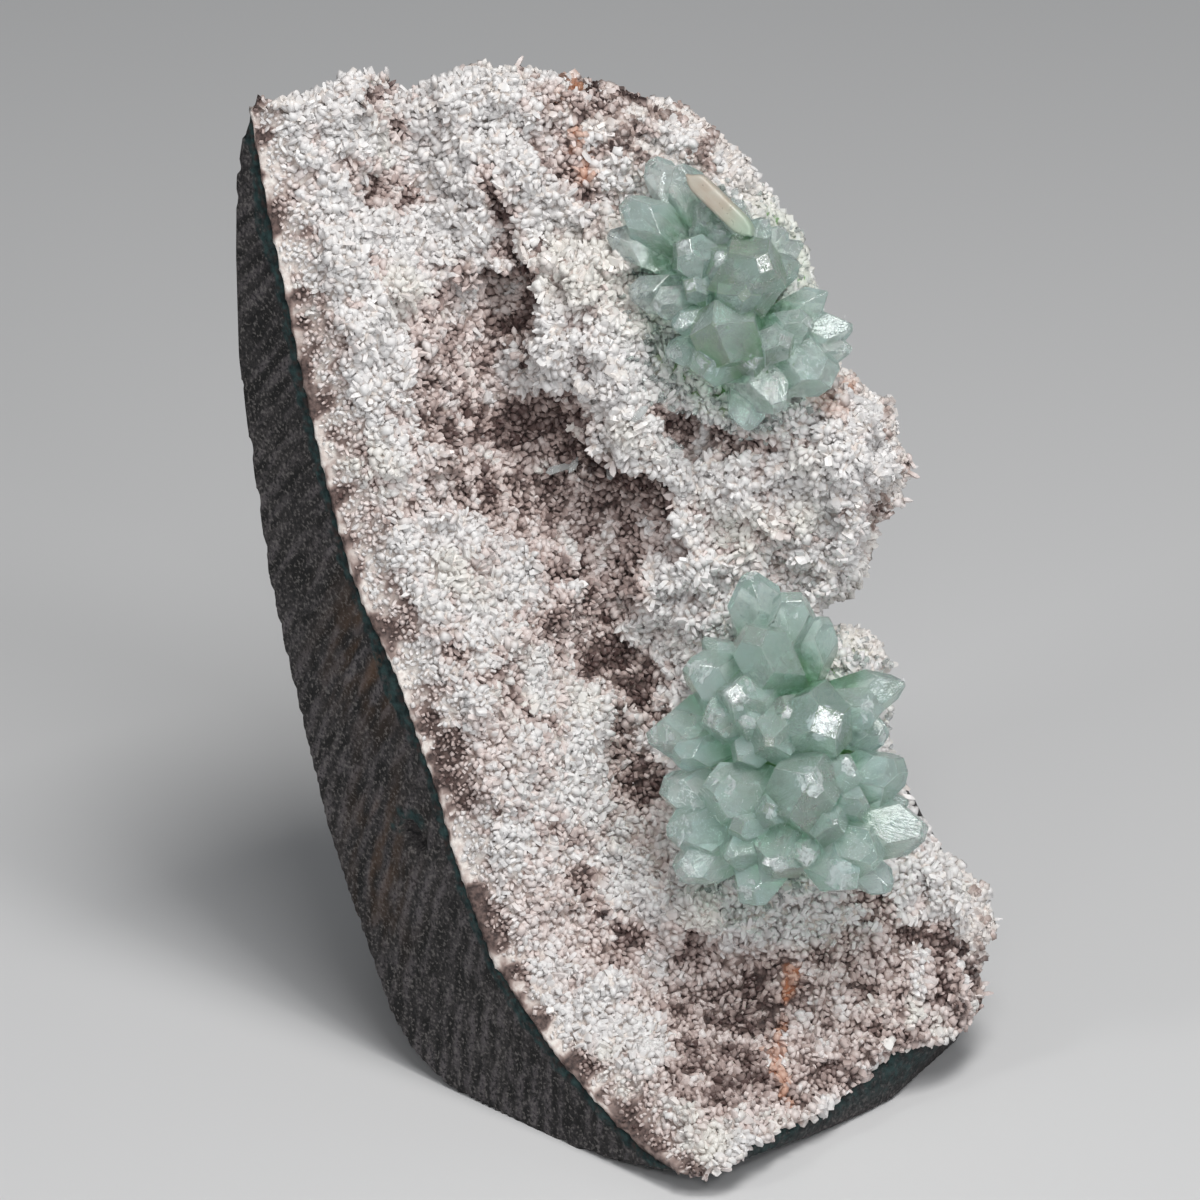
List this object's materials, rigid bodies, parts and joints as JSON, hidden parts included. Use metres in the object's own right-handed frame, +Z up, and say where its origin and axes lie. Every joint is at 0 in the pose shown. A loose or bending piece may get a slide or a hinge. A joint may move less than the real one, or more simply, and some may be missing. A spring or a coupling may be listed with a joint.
{
  "type": "apophyllite cluster mineral specimen",
  "caption": "Green apophyllite crystal clusters with a stilbite blade on a white druse that lines a basalt block with one sawn side and a level sawn foot.",
  "frame": {"origin": "centre of the bounding box, on the level plane of the sawn foot that the specimen stands on", "axes": "+Z up through the standing specimen, -Y out of the crystal face towards the viewer, +X to the viewer's right"},
  "size_m": [0.1362, 0.1242, 0.1842],
  "materials": {
    "basalt": "dark grey-brown basalt, fine grained, sawn on the left and broken elsewhere",
    "white_druse": "sparkling cover of small white to pinkish-brown crystals",
    "green_apophyllite": "pale mint green, see-through at the tips and cloudy inside, glassy to pearly",
    "peach_stilbite": "pearly cream to pale peach"
  },
  "bodies": {
    "root": {"basalt_matrix": "basalt", "white_crystal_crust": "white_druse", "apophyllite_cluster_upper": "green_apophyllite", "apophyllite_cluster_lower": "green_apophyllite", "stilbite_blade": "peach_stilbite"}
  },
  "joints": []
}
